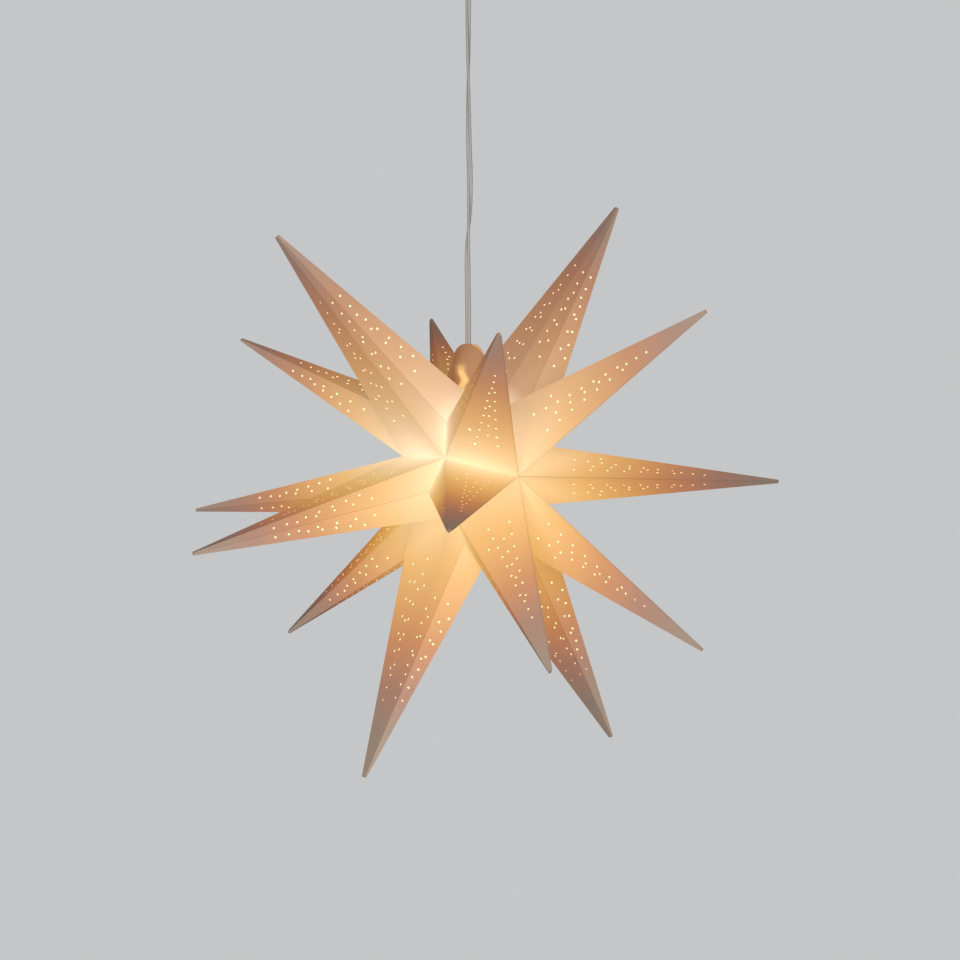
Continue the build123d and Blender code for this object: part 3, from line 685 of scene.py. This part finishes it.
class STAR_OT_fasteners(Operator):
    """Press the snap fasteners: a domed cap with a rolled rim on each side of the tabs"""

    bl_idname = "star.fasteners"
    bl_label = "Press the fasteners"

    def execute(self, context):
        material = metal_finish("snap_metal", (0.66, 0.64, 0.58), roughness=0.28)
        sockets, posts = bmesh.new(), bmesh.new()
        height = (SOCKETS_LOW.z + SOCKETS_HIGH.z) / 2
        radius = (SOCKETS_HIGH.z - SOCKETS_LOW.z) / 2
        depth = SOCKETS_HIGH.x - SOCKETS_LOW.x
        flange = (POSTS_HIGH.z - POSTS_LOW.z) / 2
        bore, shank = radius * 0.485, radius * 0.465
        low, high = POSTS_LOW.x, POSTS_HIGH.x
        card_back = low + 0.0007
        socket = [
            (bore, 0), (radius * 0.98, 0), (radius, depth * 0.12), (radius, depth * 0.34),
            (radius * 0.94, depth * 0.46), (radius * 0.80, depth * 0.50), (radius * 0.70, depth * 0.62),
            (radius * 0.66, depth * 0.90), (radius * 0.60, depth), (bore, depth),
        ]
        post = [
            (0, low), (flange * 0.35, low), (flange * 0.62, low + 0.00008), (flange * 0.88, low + 0.0002),
            (flange, low + 0.0004), (flange, card_back - 0.0001), (flange * 0.97, card_back),
            (shank, card_back), (shank, high - 0.0003), (shank * 0.8, high), (0, high),
        ]
        for y in (SOCKETS_LOW.y + radius, SOCKETS_HIGH.y - radius):
            lathe(sockets, socket, lying_along_x(SOCKETS_LOW.x, y, height))
            lathe(posts, post, lying_along_x(0, y, height))
        new_piece("snap_sockets", sockets, material, "lamp", "stud_sockets")
        new_piece("snap_posts", posts, material, "star_opening_half", "stud_posts")
        return {"FINISHED"}


# ---------------------------------------------------------------- lamp
def rolled_thread(low, high, within):
    """Ripple of a rolled thread between two heights, on the walls that lie within a radius."""
    lamp = settings("lamp")

    def ripple(radius, height, turn):
        if not low <= height <= high or radius > within:
            return radius
        ease = min(1.0, min(height - low, high - height) / THREAD_RUN_OUT)
        wave = cos(2 * pi * (height - SLEEVE_LOW.z) / lamp.thread_pitch - turn)
        return radius - lamp.thread_depth * (0.5 - 0.5 * wave) * ease

    return ripple


class STAR_OT_holder(Operator):
    """Finish the lamp holder with its threaded sleeve, and the ceiling pieces that share its materials"""

    bl_idname = "star.holder"
    bl_label = "Finish the lamp holder"

    def execute(self, context):
        colour = settings("lamp").plastic_colour
        brass = metal_finish("contact_brass", (0.72, 0.50, 0.20), roughness=0.32)
        nylon = moulded_finish("nylon", (0.74, 0.72, 0.66), roughness=0.5)
        steel = metal_finish("zinc_steel", (0.56, 0.57, 0.58), roughness=0.34)
        dress(["holder_cap", "holder_shell"], moulded_finish("holder_plastic", colour))
        dress(["holder_insert"], moulded_finish("insert_plastic", (0.66, 0.60, 0.48), roughness=0.6))
        dress(["holder_centre_contact", "holder_terminal_screws", "terminal_sleeves"], brass)
        dress(["holder_cord_grip", "cord_anchor", "terminal_block"], nylon)
        dress(["holder_grip_screw", "anchor_screws", "terminal_block_screws", "ceiling_bracket"], steel)
        dress(["holder_wires", "ceiling_wires"], insulation_finish())
        for name in ("holder_cap", "holder_shell", "holder_insert", "holder_cord_grip"):
            soften(name, 0.0005)
        outer = SLEEVE_HIGH.x
        inner = outer - SLEEVE_WALL
        heights = evenly(SLEEVE_LOW.z, SLEEVE_HIGH.z, 72)
        outline = [(outer, height) for height in heights] + [(inner, height) for height in reversed(heights)]
        thread = rolled_thread(SLEEVE_LOW.z, SLEEVE_HIGH.z, within=inner)
        builder = bmesh.new()
        lathe(builder, outline, steps=72, ripple=thread)
        new_piece("threaded_sleeve", builder, brass, "lamp", "holder_screw_sleeve")
        return {"FINISHED"}


def cap_outline():
    """Outline of the bulb's cap, up its outside and down its inside, with rows for the thread."""
    rim, bottom, top = CAP_HIGH.x, CAP_LOW.z, CAP_HIGH.z
    hole, shoulder = 0.0034, CAP_RADIUS - 0.0014
    heights = evenly(CAP_THREAD_LOW, CAP_THREAD_HIGH, 60)
    outside = [(rim - 0.0001, bottom), (rim, bottom + 0.0002), (rim, CAP_NECK - 0.0003)]
    outside += [(rim - 0.0003, CAP_NECK), (CAP_RADIUS + 0.0002, CAP_THREAD_LOW - 0.0003)]
    outside += [(CAP_RADIUS, height) for height in heights]
    outside += [(CAP_RADIUS - 0.0004, top - 0.0006), (shoulder, top - 0.0002), (hole, top)]
    inside = [(hole, top - CAP_WALL), (shoulder, top - CAP_WALL - 0.0002)]
    inside += [(CAP_RADIUS - CAP_WALL, height) for height in reversed(heights)]
    inside += [(rim - CAP_WALL, CAP_NECK), (rim - CAP_WALL, bottom)]
    return outside + inside


class STAR_OT_bulb(Operator):
    """Finish the bulb: clear glass, lit filaments, rolled screw cap and its black insulator"""

    bl_idname = "star.bulb"
    bl_label = "Finish the bulb"

    def execute(self, context):
        insulator = moulded_finish("cap_insulator", (0.012, 0.012, 0.014), roughness=0.15)
        dress(["bulb_glass", "bulb_stem"], glass_finish())
        dress(["bulb_filaments"], filament_finish())
        dress(["bulb_leads"], metal_finish("lead_wire", (0.55, 0.54, 0.50), roughness=0.3))
        dress(["bulb_cap_insulator"], insulator)
        dress(["bulb_tip_contact"], metal_finish("solder", (0.52, 0.52, 0.50), roughness=0.45))
        rolled = metal_finish("bulb_cap_metal", (0.72, 0.71, 0.69), roughness=0.27)
        thread = rolled_thread(CAP_THREAD_LOW, CAP_THREAD_HIGH, within=CAP_RADIUS)
        builder = bmesh.new()
        lathe(builder, cap_outline(), steps=96, ripple=thread)
        new_piece("threaded_cap", builder, rolled, "bulb", "bulb_cap")
        return {"FINISHED"}


# ---------------------------------------------------------------- ceiling fitting
class STAR_OT_ceiling(Operator):
    """Finish the ceiling cup, break the edges of what it hides and turn its knurled thumb screw"""

    bl_idname = "star.ceiling"
    bl_label = "Finish the ceiling fitting"

    def execute(self, context):
        ceiling = settings("ceiling")
        cup = moulded_finish("cup_plastic", ceiling.plastic_colour, roughness=0.3, grain=0.0009)
        dress(["ceiling_cup"], cup)
        for name, width in (("ceiling_bracket", 0.0004), ("terminal_block", 0.0006), ("cord_anchor", 0.0006)):
            soften(name, width)
        head_radius = (THUMB_HIGH.z - THUMB_LOW.z) / 2
        middle_z = (THUMB_HIGH.z + THUMB_LOW.z) / 2
        start, end = THUMB_LOW.x, THUMB_HIGH.x
        head_start = end - THUMB_HEAD_LENGTH
        shank = THUMB_SHANK_RADIUS

        def knurl(radius, height, turn):
            if radius < head_radius * 0.9:
                return radius
            return radius - KNURL_DEPTH * (0.5 + 0.5 * cos(ceiling.knurl_count * turn))

        profile = [
            (0, start), (shank * 0.8, start), (shank, start + 0.0003), (shank, head_start),
            (head_radius * 0.92, head_start), (head_radius, head_start + 0.0002),
            (head_radius, end - 0.0003), (head_radius * 0.92, end), (head_radius * 0.5, end),
            (head_radius * 0.42, end - 0.0002), (0, end - 0.0002),
        ]
        builder = bmesh.new()
        axis = lying_along_x(0, 0, middle_z)
        lathe(builder, profile, axis, steps=ceiling.knurl_count * 6, ripple=knurl)
        # The screw keeps the plain nylon made for the holder's pieces.
        material = bpy.data.materials["nylon"]
        new_piece("thumb_screw", builder, material, "cup_screw", "cup_grip_screw")
        return {"FINISHED"}


# ---------------------------------------------------------------- stage
def view_directions():
    """The level directions to the camera's right and along its view."""
    right = Vector((cos(CAMERA_AZIMUTH), sin(CAMERA_AZIMUTH), 0))
    forward = Vector((-sin(CAMERA_AZIMUTH), cos(CAMERA_AZIMUTH), 0))
    return right, forward


def soft_light(name, power, place):
    """Large square lamp that looks at the star from a place given along the camera's directions."""
    ahead, aside, up = place
    right, forward = view_directions()
    light = bpy.data.lights.new(name, "AREA")
    light.energy = power
    light.size = LAMP_SIZE
    lamp = bpy.data.objects.new(name, light)
    lamp.location = STAR_CENTRE + forward * ahead + right * aside + Vector((0, 0, up))
    lamp.rotation_euler = (STAR_CENTRE - lamp.location).to_track_quat("-Z", "Y").to_euler()
    bpy.context.scene.collection.objects.link(lamp)


class STAR_OT_studio(Operator):
    """Set the camera, the soft lights, the pale floor and the backdrop"""

    bl_idname = "star.studio"
    bl_label = "Set the studio"

    def execute(self, context):
        studio = settings("studio")
        self.set_camera(context)
        soft_light("key_light", studio.key_power, KEY_PLACE)
        soft_light("back_light", studio.back_power, BACK_PLACE)
        self.set_world(context, studio)
        self.lay_floor(studio)
        context.scene.view_settings.view_transform = "Standard"
        return {"FINISHED"}

    def set_camera(self, context):
        """Camera level with the star, at the angle that shows its front pole left of the middle."""
        right, forward = view_directions()
        camera_data = bpy.data.cameras.new("camera")
        camera_data.sensor_width = 36.0
        camera_data.lens = camera_data.sensor_width / 2 / HALF_FIELD_TANGENT
        camera = bpy.data.objects.new("camera", camera_data)
        aim = STAR_CENTRE + right * CAMERA_AIM_RIGHT - Vector((0, 0, CAMERA_AIM_DOWN))
        camera.location = aim - forward * CAMERA_DISTANCE
        camera.rotation_euler = forward.to_track_quat("-Z", "Y").to_euler()
        context.scene.collection.objects.link(camera)
        context.scene.camera = camera

    def set_world(self, context, studio):
        """Even pale light, and the backdrop's colour where the camera, glass or gloss sees past the floor."""
        world = bpy.data.worlds.new("studio")
        world.use_nodes = True
        context.scene.world = world
        nodes, links = world.node_tree.nodes, world.node_tree.links
        ambient = nodes["Background"]
        ambient.inputs["Color"].default_value = (1.0, 0.985, 0.965, 1.0)
        ambient.inputs["Strength"].default_value = studio.sky
        seen = nodes.new("ShaderNodeBackground")
        seen.inputs["Color"].default_value = (*studio.backdrop_colour, 1.0)
        seen.inputs["Strength"].default_value = 1.0
        rays = nodes.new("ShaderNodeLightPath")
        sees_backdrop = rays.outputs["Is Camera Ray"]
        for kind in ("Is Transmission Ray", "Is Glossy Ray"):
            either = nodes.new("ShaderNodeMath")
            either.operation = "MAXIMUM"
            links.new(sees_backdrop, either.inputs[0])
            links.new(rays.outputs[kind], either.inputs[1])
            sees_backdrop = either.outputs[0]
        blend = nodes.new("ShaderNodeMixShader")
        links.new(sees_backdrop, blend.inputs[0])
        links.new(ambient.outputs[0], blend.inputs[1])
        links.new(seen.outputs[0], blend.inputs[2])
        links.new(blend.outputs[0], nodes["World Output"].inputs["Surface"])

    def lay_floor(self, studio):
        """Round floor that fades into the backdrop at its rim."""
        builder = bmesh.new()
        bmesh.ops.create_circle(builder, cap_ends=True, cap_tris=True, segments=96, radius=FLOOR_RADIUS)
        mesh = bpy.data.meshes.new("floor")
        builder.to_mesh(mesh)
        builder.free()
        floor = bpy.data.objects.new("floor", mesh)
        floor.location = (STAR_CENTRE.x, 0, studio.floor_height)
        bpy.context.scene.collection.objects.link(floor)
        finish = Finish("floor", Roughness=0.7, Specular_IOR_Level=0.2)
        darker, lighter = shaded(studio.backdrop_colour, 1.02), shaded(studio.backdrop_colour, 1.06)
        finish.drive("Base Color", finish.ramp(finish.noise(0.25), (0.3, darker), (0.7, lighter)))
        far = finish.vector_maths("LENGTH", finish.place)
        clear = finish.add("ShaderNodeBsdfTransparent").outputs[0]
        fade = finish.span(far, FLOOR_RADIUS * 0.45, FLOOR_RADIUS * 0.98)
        blend = finish.add("ShaderNodeMixShader", fade, finish.shader.outputs[0], clear)
        output = finish.tree.nodes["Material Output"]
        finish.tree.links.new(blend.outputs[0], output.inputs["Surface"])
        mesh.materials.append(finish.material)


# ---------------------------------------------------------------- add-on
class STAR_PT_panel(Panel):
    """Sizes and colours of the pendant, and the steps that make it"""

    bl_idname = "STAR_PT_panel"
    bl_label = "Paper star pendant"
    bl_space_type = "VIEW_3D"
    bl_region_type = "UI"
    bl_category = "Star"

    def draw(self, context):
        layout = self.layout
        for group, kind in SETTINGS.items():
            box = layout.box()
            box.label(text=group.capitalize())
            for name in kind.__annotations__:
                box.prop(getattr(context.scene, f"star_{group}"), name)
        for operator in STEPS:
            layout.operator(operator.bl_idname)


STEPS = (
    STAR_OT_studio, STAR_OT_flex, STAR_OT_pages, STAR_OT_fasteners,
    STAR_OT_holder, STAR_OT_bulb, STAR_OT_ceiling,
)
CLASSES = (*SETTINGS.values(), *STEPS, STAR_PT_panel)


def register():
    for cls in CLASSES:
        bpy.utils.register_class(cls)
    for group, kind in SETTINGS.items():
        setattr(bpy.types.Scene, f"star_{group}", PointerProperty(type=kind))


def unregister():
    for group in SETTINGS:
        delattr(bpy.types.Scene, f"star_{group}")
    for cls in reversed(CLASSES):
        bpy.utils.unregister_class(cls)


def main():
    """Make the whole pendant."""
    register()
    bpy.ops.star.studio()
    bpy.ops.star.flex()
    bpy.ops.star.pages()
    bpy.ops.star.fasteners()
    bpy.ops.star.holder()
    bpy.ops.star.bulb()
    bpy.ops.star.ceiling()


if __name__ == "__main__":
    main()
